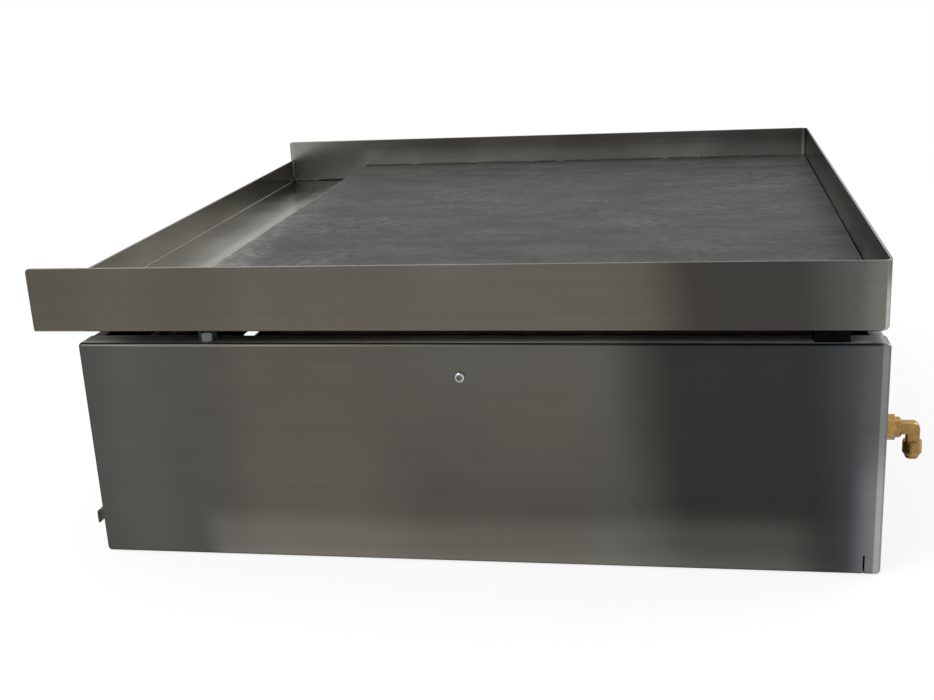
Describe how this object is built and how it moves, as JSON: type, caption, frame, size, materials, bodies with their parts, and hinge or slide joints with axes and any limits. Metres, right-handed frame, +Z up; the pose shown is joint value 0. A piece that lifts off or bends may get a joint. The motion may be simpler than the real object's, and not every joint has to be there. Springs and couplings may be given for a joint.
{
  "type": "gas grill and griddle combo",
  "caption": "Counter-top gas grill: an open-topped folded steel box with tube burners, grates and a slide-out drip tray, under a lift-off griddle tray with a thick plate and a grease trough.",
  "frame": {"origin": "middle of the casing's footprint, on the face that rests on the counter", "axes": "+Z up, -Y towards the operator, +X to the operator's right"},
  "size_m": [0.6, 0.5998, 0.212],
  "materials": {
    "stainless": "brushed along the sheet",
    "griddle_steel": "ground and oiled, streaked",
    "zinc": "zinc plated",
    "firebox_steel": "plain mill finish",
    "burner_steel": "plain stainless tube",
    "grate_steel": "plain drawn rod",
    "brass": "machined and forged",
    "gas_pipe": "plain drawn tube",
    "knob_plastic": "fine texture",
    "button_plastic": "moulded",
    "igniter_plastic": "moulded",
    "electrode_ceramic": "glazed, standing in for ceramic"
  },
  "bodies": {
    "casing": {"side_panel_left": "stainless", "runner_left": "firebox_steel", "side_panel_right": "stainless", "runner_right": "firebox_steel", "front_panel": "stainless", "rear_panel": "stainless", "knob_bezels": "stainless", "base_panel": "firebox_steel", "cross_brace": "firebox_steel", "firewall": "firebox_steel", "tamer_rail_front": "firebox_steel", "burner_rail_rear": "firebox_steel", "grate_rail_rear": "firebox_steel", "manifold_brackets": "firebox_steel", "rear_rests": "firebox_steel", "brace_screws": "zinc", "gas_manifold": "gas_pipe", "supply_pipe": "gas_pipe", "inlet_union": "brass", "inlet_elbow": "brass", "inlet_lock_nut": "brass", "valve_body_left": "brass", "feed_pipe_left": "gas_pipe", "injector_left": "brass", "burner_left": "burner_steel", "flame_tamer_left": "firebox_steel", "valve_body_middle": "brass", "feed_pipe_middle": "gas_pipe", "injector_middle": "brass", "burner_middle": "burner_steel", "flame_tamer_middle": "firebox_steel", "valve_body_right": "brass", "feed_pipe_right": "gas_pipe", "injector_right": "brass", "burner_right": "burner_steel", "flame_tamer_right": "firebox_steel", "igniter_body": "igniter_plastic", "igniter_ring_nut": "igniter_plastic", "igniter_electrode": "electrode_ceramic"},
    "griddle": {"griddle_tray": "stainless", "trough_front": "stainless", "griddle_plate": "griddle_steel", "leveller_studs": "zinc"},
    "drip_tray": {"drip_tray": "stainless"},
    "igniter_button": {"igniter_button": "button_plastic"},
    "leveller_nut_left": {"leveller_nut_left": "zinc"},
    "grate_left": {"grate_left": "grate_steel"},
    "leveller_nut_right": {"leveller_nut_right": "zinc"},
    "grate_right": {"grate_right": "grate_steel"},
    "valve_plug_left": {"valve_plug_left": "brass"},
    "knob_left": {"valve_stem_left": "zinc", "knob_left": "knob_plastic"},
    "valve_plug_middle": {"valve_plug_middle": "brass"},
    "knob_middle": {"valve_stem_middle": "zinc", "knob_middle": "knob_plastic"},
    "valve_plug_right": {"valve_plug_right": "brass"},
    "knob_right": {"valve_stem_right": "zinc", "knob_right": "knob_plastic"}
  },
  "joints": [
    {"name": "griddle_lift", "type": "slide", "parent": "casing", "child": "griddle", "axis": [0, 0, 1], "range_m": [0, 0.25]},
    {"name": "drip_tray_slide", "type": "slide", "parent": "casing", "child": "drip_tray", "axis": [0, -1, 0], "range_m": [0, 0.45]},
    {"name": "igniter_push", "type": "slide", "parent": "casing", "child": "igniter_button", "axis": [0, 1, 0], "range_m": [0, 0.005], "stiffness_N_per_m": 1500},
    {"name": "leveller_left_turn", "type": "hinge", "parent": "griddle", "child": "leveller_nut_left", "pos_m": [-0.2875, -0.177, 0.1613], "axis": [0, 0, 1], "range_deg": [-180, 180]},
    {"name": "grate_left_lift", "type": "slide", "parent": "casing", "child": "grate_left", "axis": [0, 0, 1], "range_m": [0, 0.016]},
    {"name": "leveller_right_turn", "type": "hinge", "parent": "griddle", "child": "leveller_nut_right", "pos_m": [0.2875, -0.177, 0.1613], "axis": [0, 0, 1], "range_deg": [-180, 180]},
    {"name": "grate_right_lift", "type": "slide", "parent": "casing", "child": "grate_right", "axis": [0, 0, 1], "range_m": [0, 0.016]},
    {"name": "valve_left_turn", "type": "hinge", "parent": "casing", "child": "valve_plug_left", "pos_m": [-0.19633, -0.249, 0.112], "axis": [0, -1, 0], "range_deg": [0, 180]},
    {"name": "knob_left_push", "type": "slide", "parent": "valve_plug_left", "child": "knob_left", "axis": [0, 1, 0], "range_m": [0, 0.004], "stiffness_N_per_m": 1500},
    {"name": "valve_middle_turn", "type": "hinge", "parent": "casing", "child": "valve_plug_middle", "pos_m": [0, -0.249, 0.112], "axis": [0, -1, 0], "range_deg": [0, 180]},
    {"name": "knob_middle_push", "type": "slide", "parent": "valve_plug_middle", "child": "knob_middle", "axis": [0, 1, 0], "range_m": [0, 0.004], "stiffness_N_per_m": 1500},
    {"name": "valve_right_turn", "type": "hinge", "parent": "casing", "child": "valve_plug_right", "pos_m": [0.19633, -0.249, 0.112], "axis": [0, -1, 0], "range_deg": [0, 180]},
    {"name": "knob_right_push", "type": "slide", "parent": "valve_plug_right", "child": "knob_right", "axis": [0, 1, 0], "range_m": [0, 0.004], "stiffness_N_per_m": 1500}
  ]
}
